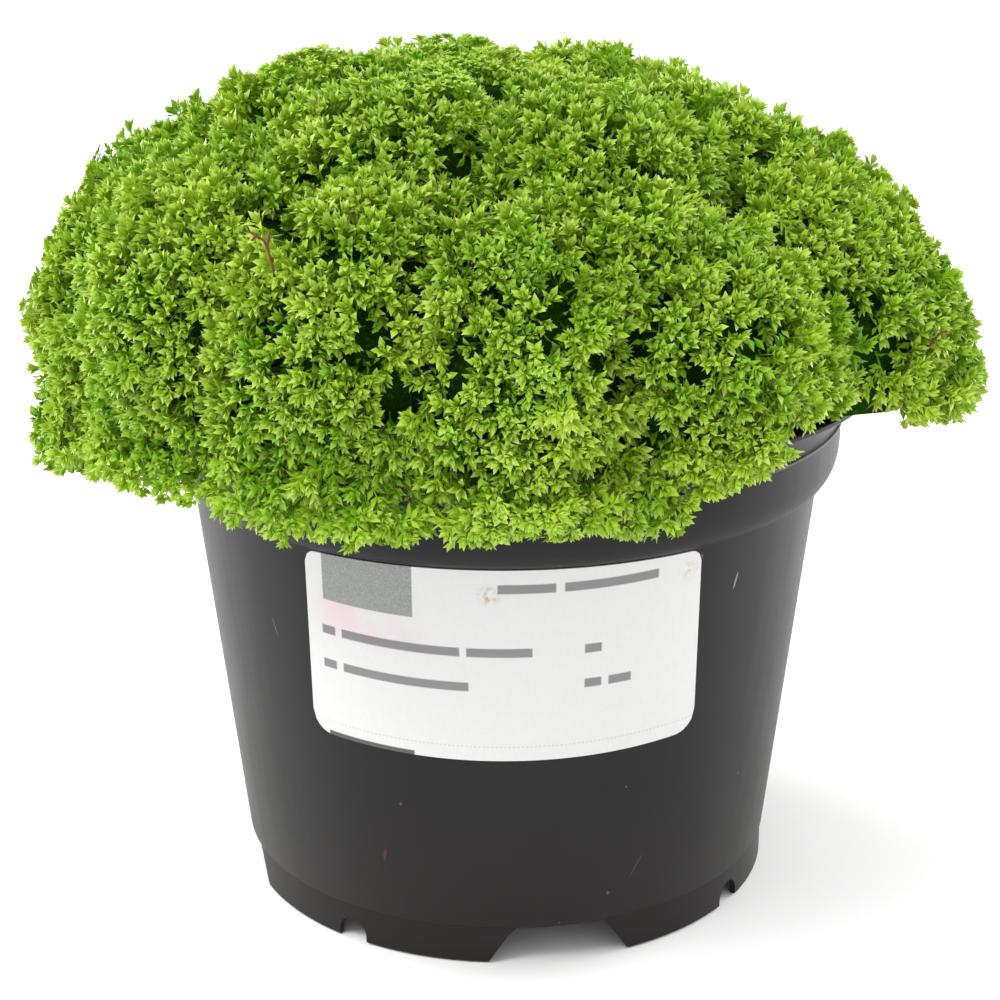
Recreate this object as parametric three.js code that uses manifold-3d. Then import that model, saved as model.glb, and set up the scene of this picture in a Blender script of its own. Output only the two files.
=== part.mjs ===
// A spikemoss (Selaginella) cushion growing in a round nursery pot, with a blank stick-on label.
// Millimetres, +Z up. The origin is the centre of the circle that the pot stands on.
// A bearing is an angle in degrees seen from above, from -Y (the labelled front) towards +X.
import * as THREE from 'three';
import { mergeVertices } from 'three/addons/utils/BufferGeometryUtils.js';
import { ConvexGeometry } from 'three/addons/geometries/ConvexGeometry.js';
import Module from 'manifold-3d';

const wasm = await Module();
wasm.setup();

// ---- Driving dimensions -------------------------------------------------------------------

const GAP = 0.3; // clearance between neighbouring pieces

const FOOT_RADIUS = 48; // the ring that the pot stands on
const FOOT_HEIGHT = 7;
const FLOOR_UNDERSIDE = 7.4;
const WALL = 1.1;
const BODY_FOOT_RADIUS = 48.35; // the tapered body starts with a fine step over the foot
const BODY_TOP_RADIUS = 56;
const BODY_TOP = 75.2;
const COLLAR_RADIUS = 59.5;
const LEDGE_TOP = 81.7;
const COLLAR_TOP = 86.3;
const LIP_RADIUS = 66;
const POT_HEIGHT = 94;
const POT_SIDES = 36;
// Four wide gaps with slanted ends in the foot ring: half-widths and heights from the ground up.
const FOOT_GAP = { bearing: 11, corners: [[12.9, -1], [8.9, 5.2], [7.6, 6.6]] };
const NOTCH = { radius: 2.9, spring: 1.1 }; // four small arched notches halfway between the gaps
const DRAIN = { radius: 4.5, out: 34, sides: 10 };

const SOIL_TOP = 84.6;
const SOIL_SIDES = 28;

const LABEL_BEARINGS = [-36.3, 35.5];
const LABEL_BOTTOM = 40.3;
const LABEL_TOP = 74.9;
const LABEL_THICKNESS = 0.4;
const LABEL_CORNERS = { bottom: 4, top: 2 };

const CUSHION_REACH = 85.2; // tips bend back from this far out to each side, and end 1.7 short of it
const CUSHION_TOP = 150.2;
const CUSHION_HEM = 71;
const CUSHION_HEART = new THREE.Vector3(0, 0, 78); // every mound faces away from this point
const CUSHION_LEAN = 0.065; // the cushion stands higher on its -X side, by this slope

// Rings of clumps, from the crown down to the lip. Each clump is a rounded mound of leafy tufts
// whose centre lies this far out and this high; root is how far out its stalk stands in the soil.
const CROWN = { out: 3, height: 117, mound: 31, root: 2, bearings: [-90] };
const INNER = { out: 28, height: 115, mound: 31, root: 20, bearings: [-36, 24, 84, 146, 204, 264] };
const MIDDLE = {
  out: 47, height: 107, mound: 29, root: 37, bearings: [-57, -20, 17, 60, 96, 134, 171, 211, 250],
};
const OUTER = {
  out: 56, height: 98, mound: 27, root: 50,
  bearings: [-74, -48, -23, 2, 27, 66, 94, 121, 148, 176, 204, 232, 259],
};
// Outer clumps in these spans of bearings sit higher or end higher, and show more of the lip.
const RAISED = [
  { from: -80, to: -60, by: 5, hem: 76 },
  { from: -60, to: 15, by: 8, hem: 84 },
  { from: 15, to: 45, by: 8, hem: 87 },
  { from: 45, to: 80, by: 7, hem: 95.5 },
  { from: 80, to: 105, by: 1, hem: 84 },
  { from: 220, to: 270, by: 5, hem: 74 },
];

const TUFT_AREA = 94; // mound surface for each leafy tuft, in square millimetres
const TUFT_LEAVES = [3, 4];
const TUFT_HEIGHT = 9.5;
const TUFT_SPREAD = [6.3, 4.6]; // half the width of a tuft, along and across its flattened head
const TUFT_SIZES = [0.85, 1.15];
const TUFT_CUP = 0.72; // the cup between the leaves takes up this share of the spread
const TUFT_LEAN = 0.7; // a tuft nods away from the middle of its mound by up to this much
const TUFT_SINK = 3; // how deep a tuft is rooted in the mound's core
const TUFT_COVER = 1; // no tuft grows deeper than this inside another mound
const TUFT_LEAST = 3; // a tuft that its neighbours squeeze to less than this volume is left off
const CORE_AREA = 190; // mound surface for each corner of the crumpled core beneath the tufts
const CORE_DEPTH = 4.5; // the core lies this far inside the mound's outer surface
const CORE_COVER = 6; // deeper than this inside another mound, the core keeps few corners
const CORE_FEW = 5; // where it is hidden, one corner in so many is kept
const CORE_RELIEF = [0.9, 1.1];
const STALK_RADIUS = 1.6;
const STALK_DEPTH = 12;
const STALK_SIDES = 5;
const STALK_SUNK = 4; // how far a stalk runs up into its core
const BEND_ROOM = 3; // a tip starts to bend this far from what it would meet

// ---- Solids and small helpers -------------------------------------------------------------

// Positions alone, with shared corners merged.
const welded = (geometry) => {
  const loose = geometry.index ? geometry.toNonIndexed() : geometry.clone();
  loose.deleteAttribute('normal');
  loose.deleteAttribute('uv');
  return mergeVertices(loose, 1e-4);
};

const toSolid = (geometry) => {
  const { attributes, index } = welded(geometry);
  const mesh = new wasm.Mesh({
    numProp: 3,
    vertProperties: new Float32Array(attributes.position.array),
    triVerts: new Uint32Array(index.array),
  });
  return new wasm.Manifold(mesh);
};

const toGeometry = (solid) => {
  const { vertProperties, triVerts } = solid.getMesh();
  const geometry = new THREE.BufferGeometry();
  geometry.setAttribute('position', new THREE.BufferAttribute(vertProperties, 3));
  geometry.setIndex(new THREE.BufferAttribute(triVerts, 1));
  return geometry;
};

// The largest body: loose scraps are dropped, and a hollow sealed inside is filled.
const largest = (solid) => solid.decompose().reduce((a, b) => (b.volume() > a.volume() ? b : a));

const polar = (bearing, radius, z) => {
  const angle = THREE.MathUtils.degToRad(bearing);
  return new THREE.Vector3(radius * Math.sin(angle), -radius * Math.cos(angle), z);
};

const seededRandom = (seed) => () => {
  seed = (seed * 1664525 + 1013904223) >>> 0;
  return seed / 4294967296;
};

const lathe = (profile, sides) => {
  const points = profile.map(([radius, z]) => new THREE.Vector2(radius, z));
  return new THREE.LatheGeometry(points, sides, -Math.PI / 2).rotateX(Math.PI / 2);
};

// An outline in the XY plane of its own, pushed out radially across the pot's foot.
const acrossFoot = (outline, bearing) => {
  const depth = 10;
  const block = new THREE.ExtrudeGeometry(outline, { depth, bevelEnabled: false, curveSegments: 5 });
  block.translate(0, 0, FOOT_RADIUS - depth / 2);
  block.rotateX(Math.PI / 2);
  return block.rotateZ(THREE.MathUtils.degToRad(bearing));
};

// ---- Pot ----------------------------------------------------------------------------------

const bodyRadius = (z) => THREE.MathUtils.mapLinear(
  z, FOOT_HEIGHT, BODY_TOP, BODY_FOOT_RADIUS, BODY_TOP_RADIUS,
);

const insideOfPot = () => [
  [LIP_RADIUS - WALL, POT_HEIGHT],
  [COLLAR_RADIUS - WALL + 2.2, COLLAR_TOP + 3.8],
  [COLLAR_RADIUS - WALL, COLLAR_TOP],
  [COLLAR_RADIUS - WALL, LEDGE_TOP],
  [BODY_TOP_RADIUS - WALL, BODY_TOP],
  [bodyRadius(FLOOR_UNDERSIDE) - WALL, FLOOR_UNDERSIDE + WALL],
];

const makePot = () => {
  const ledge = [1, 2, 3].map((step) => {
    const turn = (step * Math.PI) / 6;
    const out = (COLLAR_RADIUS - BODY_TOP_RADIUS) * Math.sin(turn);
    return [BODY_TOP_RADIUS + out, LEDGE_TOP - (LEDGE_TOP - BODY_TOP) * Math.cos(turn)];
  });
  const flare = new THREE.QuadraticBezierCurve(
    new THREE.Vector2(COLLAR_RADIUS, COLLAR_TOP),
    new THREE.Vector2(COLLAR_RADIUS + 0.7, COLLAR_TOP + 2.3),
    new THREE.Vector2(LIP_RADIUS - 0.4, POT_HEIGHT - 1.2),
  );
  const profile = [
    [0, FLOOR_UNDERSIDE],
    [FOOT_RADIUS - WALL, FLOOR_UNDERSIDE],
    [FOOT_RADIUS - WALL, 0],
    [FOOT_RADIUS, 0],
    [FOOT_RADIUS, FOOT_HEIGHT - 0.2],
    [BODY_FOOT_RADIUS, FOOT_HEIGHT],
    [BODY_TOP_RADIUS, BODY_TOP],
    ...ledge,
    ...flare.getPoints(3).map((point) => [point.x, point.y]),
    [LIP_RADIUS, POT_HEIGHT - 0.7],
    [LIP_RADIUS, POT_HEIGHT],
    ...insideOfPot(),
    [0, FLOOR_UNDERSIDE + WALL],
  ];
  let pot = toSolid(lathe(profile, POT_SIDES));

  const gap = new THREE.Shape([
    ...FOOT_GAP.corners.map(([half, z]) => new THREE.Vector2(half, z)),
    ...FOOT_GAP.corners.map(([half, z]) => new THREE.Vector2(-half, z)).reverse(),
  ]);
  const notch = new THREE.Shape();
  notch.moveTo(-NOTCH.radius, -1);
  notch.lineTo(NOTCH.radius, -1);
  notch.lineTo(NOTCH.radius, NOTCH.spring);
  notch.absarc(0, NOTCH.spring, NOTCH.radius, 0, Math.PI);
  // Drain holes through the raised floor: one in the middle, one in line with each wide gap.
  const drain = new THREE.CylinderGeometry(DRAIN.radius, DRAIN.radius, FOOT_HEIGHT, DRAIN.sides);
  drain.rotateX(Math.PI / 2).translate(0, 0, FLOOR_UNDERSIDE);
  pot = pot.subtract(toSolid(drain));
  for (let quarter = 0; quarter < 4; quarter += 1) {
    const bearing = FOOT_GAP.bearing + 90 * quarter;
    const place = polar(bearing, DRAIN.out, 0);
    pot = pot.subtract(toSolid(acrossFoot(gap, bearing)));
    pot = pot.subtract(toSolid(acrossFoot(notch, bearing + 45)));
    pot = pot.subtract(toSolid(drain.clone().translate(place.x, place.y, 0)));
  }
  return toGeometry(pot);
};

// ---- Label --------------------------------------------------------------------------------

// A thin sheet wrapped round the tapered body, with rounded corners.
const makeLabel = () => {
  const [first, last] = LABEL_BEARINGS;
  const perDegree = (Math.PI / 180) * bodyRadius(LABEL_TOP);
  const facet = 360 / POT_SIDES;
  const atEnds = [0, 0.5, 1.6, 4];
  const between = [];
  for (let bearing = Math.ceil(first / facet + 1) * facet; bearing < last - facet / 2; bearing += facet) {
    between.push(bearing);
  }
  const columns = [
    ...atEnds.map((mm) => first + mm / perDegree),
    ...between,
    ...atEnds.map((mm) => last - mm / perDegree).reverse(),
  ];
  const cornerRise = (bearing, radius) => {
    const inset = Math.min(bearing - first, last - bearing) * perDegree;
    return inset >= radius ? 0 : radius - Math.sqrt(radius ** 2 - (radius - inset) ** 2);
  };
  const sheet = new THREE.BoxGeometry(1, 1, 1, columns.length - 1, 1, 1);
  const { position } = sheet.attributes;
  for (let i = 0; i < position.count; i += 1) {
    const column = Math.round((position.getX(i) + 0.5) * (columns.length - 1));
    const bearing = columns[column];
    const outside = position.getZ(i) > 0;
    const z = position.getY(i) > 0
      ? LABEL_TOP - cornerRise(bearing, LABEL_CORNERS.top)
      : LABEL_BOTTOM + cornerRise(bearing, LABEL_CORNERS.bottom);
    const point = polar(bearing, bodyRadius(z) + GAP + (outside ? LABEL_THICKNESS : 0), z);
    position.setXYZ(i, point.x, point.y, point.z);
  }
  return toGeometry(toSolid(sheet));
};

// ---- Clumps: where each one grows ---------------------------------------------------------

const ringOfClumps = (ring, name) => ring.bearings.map((bearing, index) => {
  const span = RAISED.find(({ from, to }) => ring === OUTER && bearing > from && bearing < to);
  const centre = polar(bearing, ring.out, ring.height + (span ? span.by : 0));
  centre.z -= CUSHION_LEAN * centre.x;
  return {
    hem: span ? span.hem : CUSHION_HEM,
    name: ring.bearings.length > 1 ? `${name}_${index + 1}` : name,
    centre,
    radius: ring.mound,
    root: polar(bearing, ring.root, SOIL_TOP),
  };
});

const clumps = [
  ...ringOfClumps(CROWN, 'crown_clump'),
  ...ringOfClumps(INNER, 'inner_clump'),
  ...ringOfClumps(MIDDLE, 'middle_clump'),
  ...ringOfClumps(OUTER, 'outer_clump'),
];

// ---- Growing medium -----------------------------------------------------------------------

const stalkHole = (root) => {
  const radius = STALK_RADIUS + 2 * GAP;
  const hole = new THREE.CylinderGeometry(radius, radius, 2 * STALK_DEPTH, STALK_SIDES);
  return toSolid(hole.rotateX(Math.PI / 2).translate(root.x, root.y, SOIL_TOP));
};

const makeSoil = () => {
  const wall = insideOfPot().slice(3).map(([radius, z]) => [radius - GAP, z + GAP]).reverse();
  const profile = [
    [0, wall[0][1]],
    ...wall,
    [COLLAR_RADIUS - WALL - GAP, SOIL_TOP - 1.2],
    [COLLAR_RADIUS - WALL - 2, SOIL_TOP - 0.2],
    [0, SOIL_TOP],
  ];
  const holes = clumps.map((clump) => stalkHole(clump.root));
  return toGeometry(holes.reduce((soil, hole) => soil.subtract(hole), toSolid(lathe(profile, SOIL_SIDES))));
};

// ---- Clumps: what keeps them apart --------------------------------------------------------

// Two mounds that lean on each other meet in a flat face, where their surfaces cross.
const facesTowards = (clump) => {
  const faces = clumps.filter((other) => other !== clump).map((other) => {
    const normal = other.centre.clone().sub(clump.centre);
    const distance = normal.length();
    normal.divideScalar(distance);
    const along = (distance ** 2 + clump.radius ** 2 - other.radius ** 2) / (2 * distance);
    return { normal, limit: normal.dot(clump.centre) + along - 0.7 * GAP };
  });
  [[1, 0], [-1, 0], [0, 1], [0, -1]].forEach(([x, y]) => {
    faces.push({ normal: new THREE.Vector3(x, y, 0), limit: CUSHION_REACH });
  });
  faces.push({ normal: new THREE.Vector3(0, 0, 1), limit: CUSHION_TOP });
  faces.push({ normal: new THREE.Vector3(0, 0, -1), limit: -clump.hem });
  return faces;
};

// Bends a point back from every face it comes near, and off the lip of the pot.
const bendClear = (point, faces) => {
  for (let pass = 0; pass < 3; pass += 1) {
    faces.forEach(({ normal, limit }) => {
      const over = normal.dot(point) - (limit - BEND_ROOM);
      if (over > 0) {
        point.addScaledVector(normal, BEND_ROOM * (1 - Math.exp(-over / BEND_ROOM)) - over);
      }
    });
    const out = Math.hypot(point.x, point.y);
    const clear = LIP_RADIUS + 3 * GAP;
    if (point.z < POT_HEIGHT + 3 * GAP && out < clear) {
      point.x *= clear / out;
      point.y *= clear / out;
    }
  }
  return point;
};

// Everything that the pot and its soil take up, with room round them.
const potSpace = toSolid(lathe([
  [0, 0],
  [FOOT_RADIUS, 0],
  [LIP_RADIUS + 2 * GAP, BODY_TOP - 5],
  [LIP_RADIUS + 2 * GAP, POT_HEIGHT + 1.5 * GAP],
  ...insideOfPot().slice(0, 3).map(([radius, z]) => [radius - 2 * GAP, z + 1.5 * GAP]),
  [COLLAR_RADIUS - WALL - 2 * GAP, SOIL_TOP + 2 * GAP],
  [0, SOIL_TOP + 2 * GAP],
], POT_SIDES));

// ---- Clumps: leafy tips, core and stalk ---------------------------------------------------

// Directions spread evenly over a ball.
const spiral = (count) => Array.from({ length: count }, (_, k) => {
  const up = 1 - (2 * k + 1) / count;
  const turn = k * Math.PI * (3 - Math.sqrt(5));
  const out = Math.sqrt(1 - up ** 2);
  return new THREE.Vector3(out * Math.cos(turn), out * Math.sin(turn), up);
});

const onMound = (clump, direction, depth) => (
  clump.centre.clone().addScaledVector(direction, clump.radius - depth)
);

// True where a mound's surface can be seen: not on the pot, and not deep inside another mound.
const isOpen = (clump, direction, cover) => {
  const point = onMound(clump, direction, 0);
  const covered = clumps.some((other) => (
    other !== clump && other.centre.distanceTo(point) < other.radius - cover
  ));
  const overPot = Math.hypot(point.x, point.y) < LIP_RADIUS + 2 && point.z < POT_HEIGHT + 2;
  return !covered && !overPot;
};

// A tulip-shaped tuft: a flattened cup on one foot, with a pointed leaf on each side of the cup.
// It nods away from the pole, which is where its mound faces.
const leafyTuft = (foot, outward, pole, faces, random) => {
  const fall = outward.clone().multiplyScalar(pole.dot(outward)).sub(pole);
  const axis = outward.clone().addScaledVector(fall, TUFT_LEAN * random()).normalize();
  const across = new THREE.Vector3(random() - 0.5, random() - 0.5, random() - 0.5);
  across.cross(axis).normalize();
  const deep = axis.clone().cross(across);
  const size = THREE.MathUtils.lerp(...TUFT_SIZES, random());
  const place = (turn, spread, up) => {
    const [wide, narrow] = TUFT_SPREAD.map((half) => half * spread * size);
    return bendClear(foot.clone()
      .addScaledVector(across, wide * Math.cos(turn))
      .addScaledVector(deep, narrow * Math.sin(turn))
      .addScaledVector(axis, up * TUFT_HEIGHT * size), faces);
  };
  const leaves = TUFT_LEAVES[Math.floor(TUFT_LEAVES.length * random())];
  const step = (2 * Math.PI) / leaves;
  const dip = place(0, 0, 0.5);
  const corners = Array.from({ length: leaves }, (_, i) => {
    const [before, after] = [i - 0.5, i + 0.5].map((turn) => place(turn * step, TUFT_CUP, 0.6));
    const point = place(i * step, 0.9 + 0.3 * random(), 0.9 + 0.2 * random());
    return [before, point, dip, point, after, dip, before, after, point, after, before, foot];
  });
  return toSolid(new THREE.BufferGeometry().setFromPoints(corners.flat()));
};

// A crumpled ball with few corners where it is hidden, cut off by the faces towards its neighbours.
const coreOf = (clump, faces, random) => {
  const count = Math.round((4 * Math.PI * clump.radius ** 2) / CORE_AREA);
  const directions = spiral(count).filter((direction, k) => (
    k % CORE_FEW === 0 || isOpen(clump, direction, CORE_COVER)
  ));
  const ball = welded(new ConvexGeometry(directions));
  const { position } = ball.attributes;
  const corner = new THREE.Vector3();
  for (let i = 0; i < position.count; i += 1) {
    corner.fromBufferAttribute(position, i);
    const stops = faces.map(({ normal, limit }) => {
      const slope = normal.dot(corner);
      return slope > 0 ? (limit - normal.dot(clump.centre)) / slope : Infinity;
    });
    const reach = (clump.radius - CORE_DEPTH) * THREE.MathUtils.lerp(...CORE_RELIEF, random());
    corner.multiplyScalar(Math.min(reach, ...stops)).add(clump.centre);
    position.setXYZ(i, corner.x, corner.y, corner.z);
  }
  return toSolid(ball);
};

// It stands upright in its hole in the soil and ends inside the core.
const makeStalk = ({ root, centre, radius, hem }) => {
  const out = Math.hypot(centre.x - root.x, centre.y - root.y);
  const coreBottom = centre.z - Math.sqrt((radius - CORE_DEPTH) ** 2 - out ** 2);
  const bottom = SOIL_TOP - STALK_DEPTH + GAP;
  const top = Math.max(coreBottom, SOIL_TOP, hem) + STALK_SUNK;
  const stalk = new THREE.CylinderGeometry(STALK_RADIUS, STALK_RADIUS, top - bottom, STALK_SIDES);
  return toSolid(stalk.rotateX(Math.PI / 2).translate(root.x, root.y, (top + bottom) / 2));
};

const makeClump = (clump, index) => {
  const random = seededRandom(index + 1);
  const faces = facesTowards(clump);
  const pole = clump.centre.clone().sub(CUSHION_HEART).normalize();
  const count = Math.round((4 * Math.PI * clump.radius ** 2) / TUFT_AREA);
  const turn = new THREE.Euler(6 * random(), 6 * random(), 6 * random());
  const outwards = spiral(count).map((direction) => direction.applyEuler(turn));
  const tufts = outwards.filter((outward) => isOpen(clump, outward, TUFT_COVER)).map((outward) => {
    const foot = onMound(clump, outward, CORE_DEPTH + TUFT_SINK);
    return leafyTuft(foot, outward, pole, faces, random);
  }).filter((tuft) => tuft.volume() > TUFT_LEAST);
  const foliage = tufts.reduce((sum, tuft) => sum.add(tuft), coreOf(clump, faces, random));
  return toGeometry(largest(foliage.subtract(potSpace).add(makeStalk(clump))));
};

// ---- Materials and the assembly -----------------------------------------------------------

const materials = {
  plastic: new THREE.MeshStandardMaterial({ color: 0x3a3738, roughness: 0.45, metalness: 0 }),
  paper: new THREE.MeshStandardMaterial({ color: 0xf2f2f0, roughness: 0.7, metalness: 0 }),
  peat: new THREE.MeshStandardMaterial({ color: 0x2e2119, roughness: 0.95, metalness: 0 }),
  foliage: new THREE.MeshStandardMaterial({ color: 0x84b02c, roughness: 0.6, metalness: 0 }),
};

const piece = (name, geometry, material) => {
  const mesh = new THREE.Mesh(geometry, material);
  mesh.name = name;
  return mesh;
};

const spikemoss = new THREE.Group();
spikemoss.add(piece('pot', makePot(), materials.plastic));
spikemoss.add(piece('label', makeLabel(), materials.paper));
spikemoss.add(piece('growing_medium', makeSoil(), materials.peat));
clumps.forEach((clump, index) => {
  spikemoss.add(piece(clump.name, makeClump(clump, index), materials.foliage));
});

export default spikemoss;
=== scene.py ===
import math
import random

import bmesh
import bpy
import numpy as np
from mathutils import Euler, Matrix, Vector, noise


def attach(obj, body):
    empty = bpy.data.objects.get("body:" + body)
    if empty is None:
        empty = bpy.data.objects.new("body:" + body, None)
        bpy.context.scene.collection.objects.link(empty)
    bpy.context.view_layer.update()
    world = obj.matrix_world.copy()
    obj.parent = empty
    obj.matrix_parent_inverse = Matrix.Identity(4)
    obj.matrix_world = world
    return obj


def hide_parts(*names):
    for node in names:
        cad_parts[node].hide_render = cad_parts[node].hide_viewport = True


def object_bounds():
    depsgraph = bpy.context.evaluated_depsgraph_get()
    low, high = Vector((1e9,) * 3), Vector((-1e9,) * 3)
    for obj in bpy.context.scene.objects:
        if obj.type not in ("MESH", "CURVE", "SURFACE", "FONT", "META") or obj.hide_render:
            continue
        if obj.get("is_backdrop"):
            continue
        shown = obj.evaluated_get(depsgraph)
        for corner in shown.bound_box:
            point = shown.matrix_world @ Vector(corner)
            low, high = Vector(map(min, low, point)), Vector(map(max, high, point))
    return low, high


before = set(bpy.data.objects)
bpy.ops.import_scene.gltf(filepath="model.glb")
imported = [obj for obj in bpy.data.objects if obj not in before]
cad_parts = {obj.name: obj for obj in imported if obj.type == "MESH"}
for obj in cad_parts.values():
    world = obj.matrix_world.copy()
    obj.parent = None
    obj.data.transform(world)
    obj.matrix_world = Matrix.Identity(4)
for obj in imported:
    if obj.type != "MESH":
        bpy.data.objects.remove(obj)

# A spikemoss cushion in a round nursery pot. Shapes are worked out in millimetres and end in metres.
# A bearing is an angle in degrees seen from above, from -Y (the labelled front) towards +X.

MM = 0.001
CAD_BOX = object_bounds()
GROWTH_SEED = 11


# ---- Finishes -------------------------------------------------------------------------------


class Wire:
    """A socket in a finish. Arithmetic on it adds Math nodes."""

    def __init__(self, finish, socket):
        self.finish = finish
        self.socket = socket

    def maths(self, operation, *values):
        return self.finish.add("ShaderNodeMath", {"operation": operation}, values)

    def __add__(self, other):
        return self.maths("ADD", self, other)

    def __radd__(self, other):
        return self.maths("ADD", other, self)

    def __sub__(self, other):
        return self.maths("SUBTRACT", self, other)

    def __rsub__(self, other):
        return self.maths("SUBTRACT", other, self)

    def __mul__(self, other):
        return self.maths("MULTIPLY", self, other)

    def __truediv__(self, other):
        return self.maths("DIVIDE", self, other)

    def __pow__(self, other):
        return self.maths("POWER", self, other)

    def __gt__(self, other):
        return self.maths("GREATER_THAN", self, other)

    def __lt__(self, other):
        return self.maths("LESS_THAN", self, other)

    def __abs__(self):
        return self.maths("ABSOLUTE", self)

    def fade(self, low, high):
        """0 below low, 1 above high, and smooth between them."""
        settings = {"interpolation_type": "SMOOTHSTEP", "clamp": True}
        return self.finish.add("ShaderNodeMapRange", settings, [self, low, high])

    def parts(self):
        """The X, Y and Z of a vector."""
        return [self.finish.add("ShaderNodeSeparateXYZ", {}, [self], k) for k in range(3)]


class Finish:
    """A material with one Principled shader, and the nodes that feed it."""

    def __init__(self, name, **sockets):
        self.material = bpy.data.materials.new(name)
        self.material.use_nodes = True
        self.tree = self.material.node_tree
        self.shader = next(n for n in self.tree.nodes if n.type == "BSDF_PRINCIPLED")
        self.feed(**sockets)

    def connect(self, socket, value):
        if isinstance(value, Wire):
            self.tree.links.new(value.socket, socket)
        else:
            socket.default_value = value

    def feed(self, **sockets):
        """Sets or links sockets of the shader, with _ for each space in a name."""
        for name, value in sockets.items():
            self.connect(self.shader.inputs[name.replace("_", " ")], value)

    def add(self, kind, settings, values, output=0):
        node = self.tree.nodes.new(kind)
        for name, value in settings.items():
            setattr(node, name, value)
        pairs = values.items() if isinstance(values, dict) else enumerate(values)
        for key, value in pairs:
            self.connect(node.inputs[key], value)
        return Wire(self, node.outputs[output])

    def place(self):
        """Where a point is on the object, in millimetres."""
        coordinates = self.add("ShaderNodeTexCoord", {}, [], 3)
        settings = {"operation": "SCALE"}
        return self.add("ShaderNodeVectorMath", settings, {"Vector": coordinates, "Scale": 1 / MM})

    def attribute(self, name):
        return self.add("ShaderNodeAttribute", {"attribute_name": name}, [], 2)

    def clouds(self, where, size, detail=3.0, rough=0.5):
        """Soft noise from 0 to 1, with lumps of this size in millimetres."""
        values = {"Vector": where, "Scale": 1 / size, "Detail": detail, "Roughness": rough}
        return self.add("ShaderNodeTexNoise", {}, values)

    def specks(self, where, size):
        """The distance from a scatter of points this far apart."""
        return self.add("ShaderNodeTexVoronoi", {}, {"Vector": where, "Scale": 1 / size})

    def blend(self, amount, first, second):
        """From the first colour to the second."""
        settings = {"data_type": "RGBA"}
        return self.add("ShaderNodeMix", settings, {0: amount, 6: first, 7: second}, 2)

    def relief(self, height, strength, distance):
        """Bumps of this height, as a normal."""
        values = {"Strength": strength, "Distance": distance, "Height": height}
        return self.add("ShaderNodeBump", {}, values)


def tone(code):
    """A colour in linear light, from its six hex digits."""
    levels = [int(code[k : k + 2], 16) / 255 for k in (0, 2, 4)]
    linear = [v / 12.92 if v <= 0.04045 else ((v + 0.055) / 1.055) ** 2.4 for v in levels]
    return (*linear, 1.0)


def leafy_finish():
    """Fresh scale leaves, pale at their tips, with painted shade: a darker green low in each spray, inside
    the cushion, which also keeps the tips there from turning pale.
    """
    finish = Finish("spikemoss_leaves", Roughness=0.5, Specular_IOR_Level=0.22)
    where = finish.place()
    pale = finish.attribute("pale")
    outer = finish.attribute("outer")
    tint = finish.attribute("tint")
    patches = finish.clouds(where, 17.0, 2.0)
    # Painted shade: the darker green of the leaves low in each spray, inside the cushion, set by the outer
    # attribute.
    deep_shade = finish.blend(tint, tone("5a9209"), tone("447e06"))
    body = finish.blend(tint, tone("94b81c"), tone("76a814"))
    body = finish.blend(patches.fade(0.35, 0.7), body, tone("a4c22c"))
    colour = finish.blend(outer.fade(0.2, 0.9), deep_shade, body)
    tips = finish.blend(tint, tone("c2d478"), tone("a8c654"))
    # The pale tips are held back by the same painted shade low in each spray.
    colour = finish.blend((pale * outer).fade(0.3, 1.05) * 0.8, colour, tips)
    finish.feed(Base_Color=colour)
    return finish.material


def stem_finish():
    """Thin creeping stems, pale green to straw."""
    finish = Finish("spikemoss_stems", Roughness=0.5)
    fibres = finish.clouds(finish.place(), 1.2)
    finish.feed(Base_Color=finish.blend(fibres, tone("8fae4a"), tone("5f7a2a")))
    return finish.material


def shade_finish():
    """Painted shade: a dark mottled green with paler flecks on the core of each clump, standing in for the
    shadow between the sprays.
    """
    finish = Finish("painted_shade_core", Roughness=0.9, Specular_IOR_Level=0.05)
    where = finish.place()
    core_mottle = finish.clouds(where, 1.6, 4.0, 0.7)
    flecks = 1 - finish.specks(where, 1.1).fade(0.1, 0.45)
    # Painted shade: dark green with paler flecks, standing in for the shadow inside the cushion.
    colour = finish.blend(core_mottle, tone("122b01"), tone("264c02"))
    finish.feed(
        Base_Color=finish.blend(flecks * 0.5, colour, tone("3c6c06")),
        Normal=finish.relief(core_mottle, 1.0, 1.5 * MM),
    )
    return finish.material


def dry_finish():
    """A dead red-brown stem."""
    finish = Finish("dry_stem", Roughness=0.7)
    rings = finish.clouds(finish.place(), 0.9)
    finish.feed(Base_Color=finish.blend(rings, tone("7a3a1c"), tone("3c1c10")))
    return finish.material


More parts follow.
